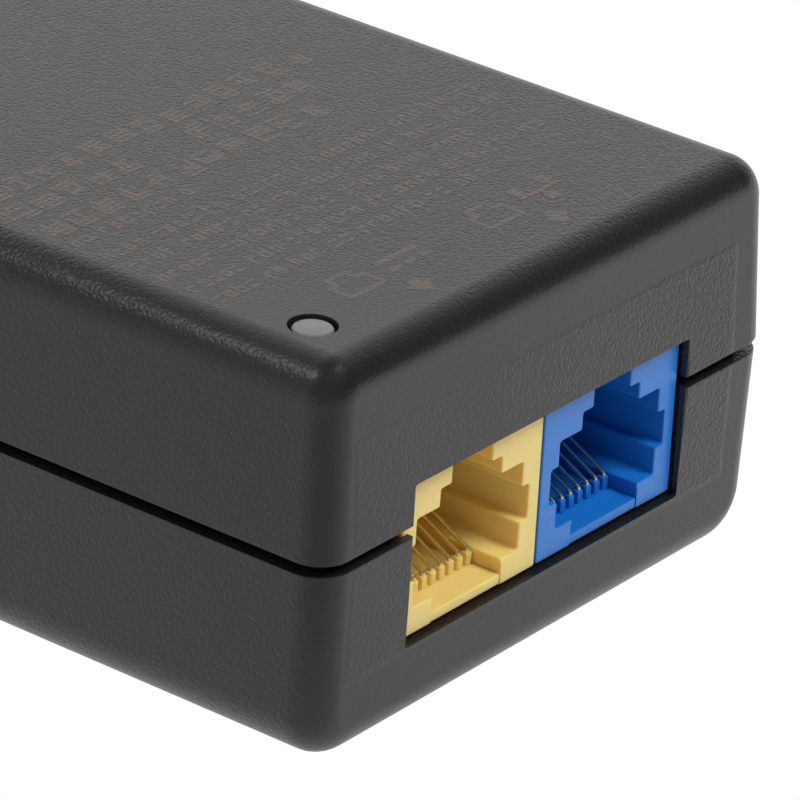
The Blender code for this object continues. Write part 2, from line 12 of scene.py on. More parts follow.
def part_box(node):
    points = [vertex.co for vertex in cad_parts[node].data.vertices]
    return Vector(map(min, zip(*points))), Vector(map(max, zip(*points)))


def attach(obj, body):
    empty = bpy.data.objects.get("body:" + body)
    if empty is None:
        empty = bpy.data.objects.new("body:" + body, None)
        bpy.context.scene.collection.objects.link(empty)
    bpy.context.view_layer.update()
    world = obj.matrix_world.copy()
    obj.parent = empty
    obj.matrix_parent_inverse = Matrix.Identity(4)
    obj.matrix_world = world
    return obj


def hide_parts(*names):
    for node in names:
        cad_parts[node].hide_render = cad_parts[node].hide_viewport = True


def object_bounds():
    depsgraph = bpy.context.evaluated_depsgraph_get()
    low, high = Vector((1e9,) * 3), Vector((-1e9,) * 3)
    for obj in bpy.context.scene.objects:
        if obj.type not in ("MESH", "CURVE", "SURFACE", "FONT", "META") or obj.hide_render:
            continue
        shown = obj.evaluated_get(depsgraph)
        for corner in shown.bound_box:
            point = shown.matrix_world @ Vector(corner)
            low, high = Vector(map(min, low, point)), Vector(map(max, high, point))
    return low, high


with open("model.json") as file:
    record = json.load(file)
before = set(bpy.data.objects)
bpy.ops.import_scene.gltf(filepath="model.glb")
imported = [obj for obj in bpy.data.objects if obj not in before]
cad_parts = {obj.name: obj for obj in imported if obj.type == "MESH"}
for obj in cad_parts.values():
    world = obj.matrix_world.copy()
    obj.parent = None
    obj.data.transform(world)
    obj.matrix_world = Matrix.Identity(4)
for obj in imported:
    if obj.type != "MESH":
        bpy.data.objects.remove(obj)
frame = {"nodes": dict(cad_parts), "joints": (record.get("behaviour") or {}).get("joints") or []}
BOUNDS_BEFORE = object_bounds()

MM = 0.001

# ---------------------------------------------------------------- sizes in millimetres, in the part's frame

LOW, HIGH = (v / MM for v in BOUNDS_BEFORE)
CASE_W, CASE_L, CASE_H = HIGH - LOW
PORT_Y, INLET_Y = LOW.y, HIGH.y

PRINT_RISE = 0.008                # ink stands this far above the moulded top
SEAM_GAP = 0.8
SEAM_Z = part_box("bottom_shell")[1].z / MM + SEAM_GAP / 2
FIT = 0.3
WALL = 2.2
SHARP_ANGLE, BEVEL_ANGLE = 35, 40   # degrees
DRAFT_TOP, DRAFT_BASE = 0.040, 0.024
TOP_EDGE_R, BASE_EDGE_R, END_EDGE_R = 3.0, 4.0, 2.7
TOP_END_EDGE_R = 2.5              # the ends of the top half are a touch crisper than those of the base
FILLET_STEPS = 12
SEAM_EDGE_R = 0.14
REBATE_WALL = 1.0
LIP_DROP = 2.0
OPENING_MID, OPENING_HALF = -0.13, 15.83
OPENING_LOW, OPENING_HIGH = 6.4, 18.95
OPENING_EDGE_R, OPENING_CORNER_R = 0.12, 0.25
PORT_SKIN = 0.62
LIP_RELIEF = 0.9
POST_X, POST_YS, POST_R = 20.0, (-25.0, 41.0), 2.8
BOSS_TOP, BOSS_EXTRA = 4.6, 1.2
PILOT_R, PILOT_TOP = 1.55, 13.0
COUNTERBORE_R, COUNTERBORE_DEPTH = 2.95, 2.5
STAND_R, STAND_HOLE_R = 2.6, 1.2
LAMP_HOLE_R, LAMP_HOLE_EDGE = 1.74, 0.06
LABEL_RECESS = 0.4

JACK_FRONT_R = 0.12
JACK_GAP = 0.05                   # half the dark line between the two housings
JACK_PROFILE_R = 0.22
PLUG_DEPTH = 12.6
LEDGE_Z = 2.05
GROOVE_TOP, GROOVE_HALF = 1.63, 3.98
POE_LEFT_EXTRA = 0.25            # the powered jack's mouth is this much wider on its left
PLUG_OUTLINE = ((5.85, LEDGE_Z), (5.85, 4.15), (6.75, 4.15), (6.75, 6.9), (5.9, 6.9), (5.9, 8.87),
                (3.35, 8.87), (3.35, 10.25), (2.15, 10.25), (2.15, 11.9))
CHANNEL_HALF = 3.9
CARRIER_TOP, PLATE_HALF = 0.85, 3.94
FINGER_FRONT, FINGER_CREST, FINGER_BACK, FINGER_TOP = 2.43, 2.95, 4.2, 1.88
FINGER_HALF, FINGER_NOSE_R, FINGER_HEEL = 0.31, 0.2, 0.25
WIRE_R, BEND_R = 0.16, 0.2
LEG_LENGTH = 0.16
ARM_ANGLE = 28.0

LENS_FLANGE_DROP, LENS_FLANGE_T, LENS_FLANGE_STEP = 6.1, 1.0, 0.4
LENS_EDGE_R, LENS_EDGE_RISE = 0.25, 0.2
LEAD_X, LEAD_HALF = 1.27, 0.25

INLET_HALF, INLET_HEIGHT = 14.0, 20.0
CAVITY_HALF, CAVITY_HEIGHT, CAVITY_DEPTH, CAVITY_CHAMFER = 12.2, 16.4, 14.6, 4.0
PIN_HALF_W, PIN_HALF_H = 1.0, 2.0
PIN_TAIL_HALF, PIN_TAIL_FROM, PIN_TAIL_TO = 0.8, 0.05, 1.25

PAN_HEAD = ((1.9, 0.0), (2.3, 0.12), (2.55, 0.4), (2.6, 0.9), (2.6, 1.7))   # radius, depth below the crown
HEAD_DEPTH = PAN_HEAD[-1][1]
CROSS = ((1.45, 0.32), (0.32, 1.45))                                        # half sizes of the two slots
RECESS = ((-0.5, 1.0), (0.25, 1.0), (1.0, 0.55))                   # depth, share of the slot's size
CASE_THREAD, BOARD_THREAD = (0.98, 1.25, 0.9), (0.7, 0.85, 0.7)             # root and crest radius, pitch
SCREW_TIP = 0.3

LABEL_TOP_GAP, LABEL_SIDE_GAP = 5.0, 3.0
LABEL_BAR_TALL, LABEL_BAR_GAP = 0.9, 0.8
LABEL_ROW_PITCH, LABEL_GROUP_PITCH, LABEL_GROUP = 2.4, 4.4, 4

# printing on the top: rows are y, (start x, end x) runs, mark height
GLYPH_STROKE, SMALL_STROKE = 0.40, 0.32
LARGE_ROWS = ((-14.5, ((-20.7, 16.8),), 2.6), (-17.7, ((-21.4, -5.4), (-2.0, 14.3)), 2.6),
              (-21.2, ((-21.7, 10.8),), 2.6))
SMALL_ROWS = ((-23.7, ((-21.7, -8.7),), 1.5), (-26.7, ((-21.7, 19.8),), 1.5),
              (-29.0, ((-21.7, 20.3),), 1.5), (-31.5, ((-21.7, 13.3),), 1.5),
              (-34.0, ((-21.7, 18.3),), 1.5), (-36.3, ((-21.7, 8.8),), 1.5))
ICON_Y, ICON_H = -42.9, 3.2
ARROW_TIP, ARROW_END = -46.0, -43.8
POE_ICONS_X, LAN_ICONS_X = (-15.0, -9.6, -9.9), (0.6, 6.0, 5.6)             # jack, sign, arrow

# the grained panel on the port face, and the case's colours
PANEL_X, PANEL_Z, PANEL_EDGE = (-22.8, 21.4), (5.9, 24.8), 0.5
CASE_BLACK = (0.0125, 0.0122, 0.0122)
INK = (0.056, 0.037, 0.028)


# ---------------------------------------------------------------- mesh helpers

def node_box(name):
    """Low and high corner of a CAD node's box, in millimetres."""
    return [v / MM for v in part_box(name)]


def arc(centre, radius, start, end, steps):
    """Points on a circle in a plane, from one angle to another, both in degrees."""
    out = []
    for i in range(steps + 1):
        angle = math.radians(start + (end - start) * i / steps)
        out.append((centre[0] + radius * math.cos(angle), centre[1] + radius * math.sin(angle)))
    return out


def round_corners(points, radius, steps=3):
    """The closed outline with each corner replaced by a small arc."""
    out = []
    count = len(points)
    for i, point in enumerate(points):
        p = Vector(point)
        back, on = Vector(points[i - 1]) - p, Vector(points[(i + 1) % count]) - p
        half = back.angle(on) / 2
        run = min(radius / math.tan(half), 0.45 * back.length, 0.45 * on.length)
        a, b = p + back.normalized() * run, p + on.normalized() * run
        for k in range(steps + 1):
            t = k / steps
            out.append(tuple((1 - t) ** 2 * a + 2 * t * (1 - t) * p + t * t * b))
    return out


def rectangle(x0, x1, z0, z1):
    return [(x0, z0), (x1, z0), (x1, z1), (x0, z1)]


def offset(points, distance):
    """The anticlockwise outline moved outwards by a distance."""
    out = []
    count = len(points)
    for i, point in enumerate(points):
        before = (Vector(point) - Vector(points[i - 1])).normalized()
        after = (Vector(points[(i + 1) % count]) - Vector(point)).normalized()
        normal = Vector((before.y + after.y, -before.x - after.x))
        normal.normalize()
        stretch = max(normal.dot(Vector((before.y, -before.x))), 0.5)
        out.append(tuple(Vector(point) + normal * (distance / stretch)))
    return out


def quarter(radius, steps=3):
    """(offset, depth) pairs for an edge rounded with a quarter circle, from the face inwards."""
    return [(radius * (1 - math.sin(a)), radius * (1 - math.cos(a)))
            for a in (math.pi / 2 * i / steps for i in range(steps + 1))]


def add_loft(bm, rings):
    """Closed body through matching rings of 3-D points."""
    rows = [[bm.verts.new(p) for p in ring] for ring in rings]
    made = []
    for a, b in zip(rows, rows[1:]):
        for i in range(len(a)):
            made.append(bm.faces.new((a[i - 1], a[i], b[i], b[i - 1])))
    made.append(bm.faces.new(list(reversed(rows[0]))))
    made.append(bm.faces.new(rows[-1]))
    bmesh.ops.recalc_face_normals(bm, faces=made)
    return bm


def along_y(outline, y):
    return [(x, y, z) for x, z in outline]


def along_z(outline, z):
    return [(x, y, z) for x, y in outline]


def add_box(bm, low, high):
    outline = rectangle(low[0], high[0], low[1], high[1])
    return add_loft(bm, [along_z(outline, z) for z in (low[2], high[2])])


def lathe_rings(x, y, profile, sides):
    """Rings of a turned body about an upright axis, from (radius, height) pairs."""
    return [[(x + r * math.cos(a), y + r * math.sin(a), z)
             for a in (2 * math.pi * i / sides for i in range(sides))] for r, z in profile]


def solid(name, bm):
    """Object in the scene from a bmesh drawn in millimetres."""
    bmesh.ops.scale(bm, vec=(MM, MM, MM), verts=bm.verts)
    mesh = bpy.data.meshes.new(name)
    bm.to_mesh(mesh)
    bm.free()
    ob = bpy.data.objects.new(name, mesh)
    bpy.context.scene.collection.objects.link(ob)
    return ob


def block(name, low, high):
    return solid(name, add_box(bmesh.new(), low, high))


def lofted(name, rings):
    return solid(name, add_loft(bmesh.new(), rings))


def turned(name, x, y, profile, sides=48):
    return lofted(name, lathe_rings(x, y, profile, sides))


def rod(name, x, y, radius, low, high, sides=32):
    return turned(name, x, y, ((radius, low), (radius, high)), sides)


def evaluated_mesh(ob):
    graph = bpy.context.evaluated_depsgraph_get()
    return bpy.data.meshes.new_from_object(ob.evaluated_get(graph))


def combine(ob, operation, *tools):
    for tool in tools:
        mod = ob.modifiers.new("tool", "BOOLEAN")
        mod.operation = operation
        mod.solver = "EXACT"
        mod.object = tool
        mesh = evaluated_mesh(ob)
        ob.modifiers.clear()
        ob.data = mesh
        bpy.data.objects.remove(tool, do_unlink=True)
    return ob


def cut(ob, *tools):
    return combine(ob, "DIFFERENCE", *tools)


def join(ob, *tools):
    return combine(ob, "UNION", *tools)


def soften(ob, width):
    """Small rounded edges on every sharp corner."""
    mod = ob.modifiers.new("soft_edges", "BEVEL")
    mod.width = width * MM
    mod.segments = 3
    mod.limit_method = "ANGLE"
    mod.angle_limit = math.radians(BEVEL_ANGLE)
    mod.harden_normals = False


def paint(mesh, look):
    """One material, smooth shading, sharp where faces meet at a real edge."""
    mesh.materials.clear()
    mesh.materials.append(look)
    mesh.polygons.foreach_set("use_smooth", [True] * len(mesh.polygons))
    mesh.set_sharp_from_angle(angle=math.radians(SHARP_ANGLE))


def finish_mesh(ob, look, weighted):
    ob.data.polygons.foreach_set("material_index", [0] * len(ob.data.polygons))
    paint(ob.data, look)
    if weighted:
        mod = ob.modifiers.new("flat_faces", "WEIGHTED_NORMAL")
        mod.keep_sharp = True
        mod.weight = 90


def place(ob, look, body="case", stands_for=(), weighted=True):
    """Finish a piece: material, smooth shading, the body it rides on and the CAD nodes it stands for."""
    finish_mesh(ob, look, weighted)
    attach(ob, body)
    if stands_for:
        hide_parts(*stands_for)
    return ob


# ---------------------------------------------------------------- materials

class Look:
    """A Principled material with procedural detail measured in millimetres of the part."""

    def __init__(self, name, colour, roughness, metallic=0.0):
        self.mat = bpy.data.materials.new(name)
        self.mat.use_nodes = True
        self.tree = self.mat.node_tree
        self.bsdf = self.tree.nodes["Principled BSDF"]
        self.colour = (*colour, 1.0)
        self.set("Base Color", self.colour)
        self.set("Roughness", roughness)
        self.set("Metallic", metallic)
        self.set("IOR", 1.5)
        self.spot = self.node("Mapping", {"Vector": self.node("TexCoord").outputs["Object"],
                                          "Scale": (1 / MM, 1 / MM, 1 / MM)}).outputs[0]

    def set(self, socket, value):
        self.put(self.bsdf.inputs[socket], value)

    def put(self, socket, value):
        if isinstance(value, bpy.types.NodeSocket):
            self.tree.links.new(value, socket)
        else:
            socket.default_value = value

    def node(self, kind, inputs=None, **settings):
        node = self.tree.nodes.new("ShaderNode" + kind)
        for key, value in settings.items():
            setattr(node, key, value)
        for key, value in (inputs or {}).items():
            self.put(node.inputs[key], value)
        return node

    def calc(self, operation, a, b):
        return self.node("Math", {0: a, 1: b}, operation=operation).outputs[0]

    def product(self, a, b):
        return self.calc("MULTIPLY", a, b)

    def span(self, value, low, high, out_low=0.0, out_high=1.0):
        """value taken from low..high to out_low..out_high, smoothly and clamped."""
        return self.node("MapRange", {"Value": value, "From Min": low, "From Max": high,
                                      "To Min": out_low, "To Max": out_high},
                         interpolation_type="SMOOTHSTEP").outputs[0]

    def noise(self, scale, detail=2.0, rough=0.5, spot=None):
        return self.node("TexNoise", {"Vector": spot or self.spot, "Scale": scale, "Detail": detail,
                                      "Roughness": rough}).outputs[0]

    def cells(self, scale, feature="SMOOTH_F1"):
        return self.node("TexVoronoi", {"Vector": self.spot, "Scale": scale},
                         feature=feature).outputs["Distance"]

    def stretch(self, x, y, z):
        return self.node("Mapping", {"Vector": self.spot, "Scale": (x, y, z)}).outputs[0]

    def blend(self, factor, a, b):
        return self.node("Mix", {0: factor, 6: a, 7: b}, data_type="RGBA").outputs[2]

    def blend_value(self, factor, a, b):
        return self.node("Mix", {0: factor, 2: a, 3: b}, data_type="FLOAT").outputs[0]

    def axes(self, vector):
        return self.node("SeparateXYZ", {0: vector}).outputs

    def normal(self):
        """The face's own normal in the piece's frame, before any bump."""
        world = self.node("NewGeometry").outputs["Normal"]
        turn = self.node("VectorTransform", {0: world}, vector_type="NORMAL", convert_from="WORLD",
                         convert_to="OBJECT").outputs[0]
        return self.axes(turn)

    def bump(self, height, depth):
        """Surface relief from a height near 0..1, depth in millimetres."""
        self.set("Normal", self.node("Bump", {"Height": height, "Distance": depth * MM,
                                              "Strength": 1.0}).outputs[0])

    def vary_colour(self, scale, amount, tint=(1.0, 1.0, 1.0)):
        """Broad, faint drift of the base colour."""
        shade = tuple(min(1.0, c * (1 + amount) * t) for c, t in zip(self.colour, tint)) + (1.0,)
        dark = tuple(c * (1 - amount) for c in self.colour[:3]) + (1.0,)
        self.set("Base Color", self.blend(self.noise(scale, 3.0, 0.6), dark, shade))

    def vary_roughness(self, scale, low, high):
        self.set("Roughness", self.span(self.noise(scale, 4.0, 0.6), 0.3, 0.7, low, high))


def pebble(look):
    """Height of the spark-eroded grain of the case, and how strong it is on each face."""
    x, _, z = look.axes(look.spot)
    _, ny, nz = look.normal()
    top = look.span(nz, 0.35, 0.9)
    from_corner = look.node("VectorMath", {0: look.spot, 1: (LOW.x, PORT_Y, CASE_H)}, operation="DISTANCE")
    calm = look.span(from_corner.outputs["Value"], 8.0, 30.0, 0.3, 1.0)
    front = look.span(ny, -0.8, -0.98)
    within = [look.product(look.span(value, low, low + PANEL_EDGE),
                           look.span(value, high, high - PANEL_EDGE))
              for value, (low, high) in ((x, PANEL_X), (z, PANEL_Z))]
    panel = look.product(front, look.product(*within))
    coarse = look.noise(2.9, 2.0, 0.55)
    fine = look.noise(6.5, 2.0, 0.6)
    stones = look.cells(3.3)
    pebbles = look.calc("ADD", look.product(look.span(stones, 0.12, 0.5), 0.6), look.product(coarse, 0.8))
    level = look.blend_value(top, 0.75, calm)
    level = look.blend_value(look.span(ny, -0.25, -0.6), level, 0.4)
    level = look.blend_value(front, level, 0.2)
    level = look.blend_value(panel, level, look.span(x, -12.0, PANEL_X[1], 0.5, 1.1))
    fine_level = look.blend_value(front, look.span(calm, 0.3, 1.0, 0.1, 0.22), 0.15)
    height = look.calc("ADD", look.product(pebbles, level), look.product(fine, fine_level))
    step = look.product(panel, 0.15)
    return look.calc("ADD", height, step), fine


def case_look(name, colour, roughness):
    look = Look(name, colour, roughness)
    height, fine = pebble(look)
    look.bump(height, 0.045)
    look.vary_colour(0.35, 0.12)
    look.set("Roughness", look.span(fine, 0.3, 0.7, roughness - 0.05, roughness + 0.06))
    return look.mat


def moulded_look(name, colour, roughness, grain=0.004, drift=0.05, subsurface=0.0):
    """Smooth injection-moulded plastic with faint flow marks."""
    look = Look(name, colour, roughness)
    look.vary_colour(0.5, drift)
    look.vary_roughness(1.2, roughness - 0.05, roughness + 0.07)
    flow = look.noise(1.4, 3.0, 0.6, look.stretch(1.0, 0.35, 1.6))
    fine = look.noise(9.0, 2.0, 0.6)
    look.bump(look.calc("ADD", flow, look.product(fine, 0.35)), grain)
    if subsurface:
        look.set("Subsurface Weight", subsurface)
        look.set("Subsurface Radius", (1.0, 0.42, 0.1))
        look.set("Subsurface Scale", 2.0 * MM)
    return look.mat


def metal_look(name, colour, roughness, streak=(1.0, 1.0, 8.0), relief=0.004, tarnish=0.15):
    """Metal with drawing or brushing marks and a little tarnish."""
    look = Look(name, colour, roughness, metallic=1.0)
    brushed = look.noise(5.0, 3.0, 0.6, look.stretch(*streak))
    look.vary_colour(1.5, tarnish, (1.0, 0.97, 0.92))
    look.set("Roughness", look.span(brushed, 0.3, 0.7, max(0.05, roughness - 0.08), roughness + 0.12))
    look.bump(brushed, relief)
    return look.mat


LOOKS = {
    "case": case_look("black_grained_abs", CASE_BLACK, 0.35),
    "ink": case_look("pad_print_ink", INK, 0.36),
    "yellow": moulded_look("yellow_jack_plastic", (0.83, 0.62, 0.210), 0.36, subsurface=0.5),
    "blue": moulded_look("blue_jack_plastic", (0.010, 0.162, 0.56), 0.34, subsurface=0.05),
    "wire": metal_look("gold_flashed_wire", (0.84, 0.73, 0.56), 0.26, (8.0, 1.0, 8.0), 0.002),
    "lens": moulded_look("frosted_lamp_resin", (0.145, 0.145, 0.148), 0.32, 0.003, 0.08, 0.2),
    "inlet": moulded_look("black_inlet_plastic", (0.016, 0.016, 0.017), 0.34, 0.006),
    "plated": metal_look("nickel_plated_brass", (0.74, 0.72, 0.68), 0.25),
    "screw": metal_look("blackened_steel", (0.22, 0.22, 0.23), 0.38, (3.0, 3.0, 3.0), 0.006, 0.3),
    "label": metal_look("satin_silver_film", (0.66, 0.66, 0.67), 0.42, (0.2, 6.0, 1.0), 0.001, 0.04),
    "label_ink": moulded_look("label_ink", (0.03, 0.03, 0.035), 0.5),
}


def board_look():
    look = Look("green_solder_mask", (0.02, 0.16, 0.06), 0.35)
    weave = look.node("TexWave", {"Vector": look.spot, "Scale": 0.9, "Distortion": 0.6}).outputs["Fac"]
    tracks = look.span(look.cells(0.32, "F1"), 0.42, 0.46)
    look.set("Base Color", look.blend(tracks, (0.02, 0.15, 0.055, 1), (0.03, 0.24, 0.09, 1)))
    look.bump(look.calc("ADD", look.product(weave, 0.2), tracks), 0.02)
    look.vary_roughness(0.8, 0.28, 0.42)
    return look.mat


def ceramic_look():
    look = Look("fuse_ceramic", (0.78, 0.76, 0.70), 0.3)
    look.vary_colour(0.8, 0.06)
    look.vary_roughness(2.0, 0.22, 0.4)
    look.bump(look.noise(3.0, 4.0, 0.6), 0.01)
    return look.mat


def dipped_look():
    look = Look("dipped_epoxy", (0.02, 0.12, 0.42), 0.22)
    look.vary_colour(0.4, 0.12)
    look.vary_roughness(1.0, 0.16, 0.3)
    look.bump(look.noise(0.9, 2.0, 0.5), 0.08)
    return look.mat


def chip_look():
    look = Look("moulded_epoxy", (0.022, 0.022, 0.024), 0.55)
    look.vary_colour(1.0, 0.15)
    look.vary_roughness(3.0, 0.45, 0.65)
    look.bump(look.noise(8.0, 3.0, 0.65), 0.012)
    return look.mat


def sleeve_look():
    look = Look("shrink_sleeve", (0.018, 0.022, 0.045), 0.3)
    wrinkle = look.noise(0.6, 3.0, 0.6, look.stretch(1.0, 1.0, 3.0))
    look.vary_colour(0.7, 0.15)
    look.vary_roughness(1.5, 0.22, 0.38)
    look.bump(wrinkle, 0.05)
    return look.mat


def ferrite_look():
    look = Look("sintered_ferrite", (0.05, 0.05, 0.052), 0.6)
    look.vary_colour(2.0, 0.25)
    look.vary_roughness(4.0, 0.5, 0.72)
    pits = look.span(look.cells(3.5, "F1"), 0.05, 0.25)
    look.bump(look.calc("ADD", pits, look.noise(6.0, 4.0, 0.7)), 0.02)
    return look.mat


def tape_look():
    look = Look("polyester_tape", (0.74, 0.55, 0.07), 0.28)
    _, _, z = look.axes(look.spot)
    edge = look.calc("FRACT", look.product(z, 0.45), 0.0)
    look.bump(look.calc("ADD", look.span(edge, 0.0, 0.12), look.noise(0.8, 2.0, 0.5)), 0.04)
    look.vary_colour(0.5, 0.08)
    look.vary_roughness(1.2, 0.2, 0.36)
    return look.mat


LOOKS.update({
    "board": board_look(),
    "ceramic": ceramic_look(),
    "dipped": dipped_look(),
    "box": moulded_look("film_capacitor_box", (0.68, 0.50, 0.10), 0.42, 0.01),
    "chip": chip_look(),
    "sleeve": sleeve_look(),
    "ferrite": ferrite_look(),
    "copper": metal_look("enamelled_copper", (0.72, 0.33, 0.16), 0.26, (4.0, 4.0, 4.0), 0.004),
    "tape": tape_look(),
    "heatsink": metal_look("sheet_aluminium", (0.70, 0.70, 0.71), 0.36, (8.0, 0.4, 1.0), 0.006),
})


# ---------------------------------------------------------------- case shells

def shell_form(name, seam_z, far_z, inset, draft, edge_r, steps, seam_r=0.0, end_r=END_EDGE_R):
    """Drafted half case with rounded long edges, then rounded ends."""
    half_x, half_y = CASE_W / 2 - inset, CASE_L / 2 - inset
    taper = draft * abs(far_z - seam_z)
    bm = add_box(bmesh.new(), (-half_x, -half_y, min(seam_z, far_z)), (half_x, half_y, max(seam_z, far_z)))
    for v in bm.verts:
        if abs(v.co.z - far_z) < 0.01:
            v.co.x -= math.copysign(taper, v.co.x)
            v.co.y -= math.copysign(taper, v.co.y)
    far = [e for e in bm.edges if all(abs(v.co.z - far_z) < 0.01 for v in e.verts)
           and abs(e.verts[0].co.y - e.verts[1].co.y) > 1]
    bmesh.ops.bevel(bm, geom=far, offset=max(edge_r - inset, 1.2), segments=steps, profile=0.5,
                    affect="EDGES")
    ends = {e for f in bm.faces if abs(f.normal.y) > 0.9 for e in f.edges
            if any(abs(v.co.z - seam_z) > 0.01 for v in e.verts)}
    bmesh.ops.bevel(bm, geom=list(ends), offset=max(end_r - inset, 0.6), segments=steps, profile=0.5,
                    affect="EDGES")
    if seam_r:
        rim = [e for e in bm.edges if all(abs(v.co.z - seam_z) < 0.01 for v in e.verts)]
        bmesh.ops.bevel(bm, geom=rim, offset=seam_r, segments=2, profile=0.5, affect="EDGES")
    return solid(name, bm)


def ring_block(name, inset, low, high):
    half_x, half_y = CASE_W / 2 - inset, CASE_L / 2 - inset
    outline = round_corners(rectangle(-half_x, half_x, -half_y, half_y), max(END_EDGE_R - inset, 0.5), 4)
    return lofted(name, [along_z(outline, low), along_z(outline, high)])


def port_cutters():
    """Opening in the end skin, with softened edges, and the pocket behind it."""
    pocket_y = PORT_Y + PORT_SKIN
    outline = round_corners(rectangle(OPENING_MID - OPENING_HALF, OPENING_MID + OPENING_HALF,
                                      OPENING_LOW, OPENING_HIGH), OPENING_CORNER_R)
    rings = [along_y(offset(outline, OPENING_EDGE_R + 1.0), PORT_Y - 1.0)]
    rings += [along_y(offset(outline, out), PORT_Y + face_set_back() + deep)
              for out, deep in quarter(OPENING_EDGE_R)]
    rings.append(along_y(outline, pocket_y + 1.0))
    low, high = jack_pair_box()
    pocket = block("pocket", (low.x - FIT, pocket_y, low.z - FIT), (high.x + FIT, high.y, high.z + FIT))
    return lofted("opening", rings), pocket


def face_set_back():
    """Mean distance of the drafted port face behind the seam plane's outline, over the opening."""
    return DRAFT_TOP * (OPENING_HIGH - SEAM_Z) / 2


def jack_pair_box():
    return node_box("poe_jack_housing")[0], node_box("lan_jack_housing")[1]


def inlet_cutter():
    half, z_half = INLET_HALF + FIT, INLET_HEIGHT / 2 + FIT
    outline = round_corners(rectangle(-half, half, SEAM_Z - z_half, SEAM_Z + z_half), 1.2, 5)
    return lofted("inlet_hole", [along_y(outline, INLET_Y - 5.0), along_y(outline, INLET_Y + 1.0)])


def post_places():
    return [(sx * POST_X, y) for y in POST_YS for sx in (-1, 1)]


def screw_places(kind, count):
    out = []
    for i in range(1, count + 1):
        low, high = node_box(f"{kind}_{i}")
        out.append(((low.x + high.x) / 2, (low.y + high.y) / 2, low.z, high.z))
    return out


def make_top():
    seam_top = SEAM_Z + SEAM_GAP / 2
    lip_low = SEAM_Z - SEAM_GAP / 2 - LIP_DROP + FIT
    top_z = CASE_H - PRINT_RISE
    shell = shell_form("case_top", seam_top, top_z, 0.0, DRAFT_TOP, TOP_EDGE_R, FILLET_STEPS, SEAM_EDGE_R,
                       TOP_END_EDGE_R)
    join(shell, ring_block("lip", REBATE_WALL + FIT, lip_low, seam_top + 1.0))
    cut(shell, shell_form("cavity", lip_low - 1.0, CASE_H - WALL, WALL, DRAFT_TOP / 2, TOP_EDGE_R, 4))
    for x, y in post_places():
        join(shell, rod("post", x, y, POST_R, BOSS_TOP + FIT, CASE_H - WALL + 0.5))
        cut(shell, rod("pilot", x, y, PILOT_R, 0.0, PILOT_TOP))
    cut(shell, *port_cutters(), inlet_cutter())
    relief = OPENING_HALF + LIP_RELIEF
    cut(shell, block("lip_gap", (OPENING_MID - relief, PORT_Y, lip_low - 1),
                     (OPENING_MID + relief, PORT_Y + 5, seam_top)))
    lamp_low, lamp_high = node_box("status_lamp")
    x, y = (lamp_low.x + lamp_high.x) / 2, (lamp_low.y + lamp_high.y) / 2
    flare = [(LAMP_HOLE_R, CASE_H - 5)]
    flare += [(LAMP_HOLE_R + out, top_z - deep) for out, deep in reversed(quarter(LAMP_HOLE_EDGE))]
    flare.append((LAMP_HOLE_R + LAMP_HOLE_EDGE, top_z + 1.0))
    cut(shell, turned("lamp_hole", x, y, flare, 64))
    place(shell, LOOKS["case"], stands_for=("top_shell",))


def make_bottom():
    seam_low = SEAM_Z - SEAM_GAP / 2
    shell = shell_form("case_bottom", seam_low, 0.0, 0.0, DRAFT_BASE, BASE_EDGE_R, FILLET_STEPS,
                       SEAM_EDGE_R)
    cut(shell, shell_form("cavity", seam_low + 1.0, WALL, WALL, DRAFT_BASE / 2, BASE_EDGE_R, 4))
    cut(shell, ring_block("rebate", REBATE_WALL, seam_low - LIP_DROP, seam_low + 1.0))
    for x, y in post_places():
        join(shell, rod("boss", x, y, POST_R + BOSS_EXTRA, WALL - 1, BOSS_TOP))
        cut(shell, turned("counterbore", x, y,
                          ((COUNTERBORE_R + 0.2, -1.0), (COUNTERBORE_R + 0.2, 0.0), (COUNTERBORE_R, 0.2),
                           (COUNTERBORE_R, COUNTERBORE_DEPTH))))
        cut(shell, rod("shank_hole", x, y, PILOT_R, 0.0, 8.0))
    board_low = node_box("main_board")[0].z
    for x, y, _, _ in screw_places("board_screw", 2):
        join(shell, rod("stand", x, y, STAND_R, WALL - 1, board_low - FIT))
        cut(shell, rod("stand_hole", x, y, STAND_HOLE_R, 2.6, 8.6))
    cut(shell, *port_cutters(), inlet_cutter())
    low, high = node_box("rating_label")
    outline = round_corners(rectangle(low.x - 0.5, high.x + 0.5, low.y - 0.5, high.y + 0.5), 1.2, 5)
    cut(shell, lofted("label_recess", [along_z(outline, -1.0), along_z(outline, LABEL_RECESS)]))
    place(shell, LOOKS["case"], stands_for=("bottom_shell",))


# ---------------------------------------------------------------- printing on the top

def bar(out, x0, y0, x1, y1):
    out.append([(x0, y0), (x1, y0), (x1, y1), (x0, y1)])


def large_mark(out, x, y, size, dice):
    """A cluster of strokes in a square cell: not a character of any script."""
    w = GLYPH_STROKE
    rows = dice.sample((0.0, 0.25, 0.5, 0.75, 1.0), dice.choice((3, 4)))
    left = x + dice.choice((0.0, 0.1 * size))
    right = x + size - dice.choice((0.0, 0.15 * size))
    for r in sorted(rows):
        a = left + dice.choice((0.0, 0.0, 0.3 * size))
        yy = y + r * (size - w)
        bar(out, a, yy, right, yy + w)
    for c in dice.sample((0.0, 0.33, 0.66, 1.0), 2):
        xx = left + c * (right - left - w)
        bar(out, xx, y + dice.choice((0.0, 0.25)) * size, xx + w, y + dice.choice((0.75, 1.0)) * size)


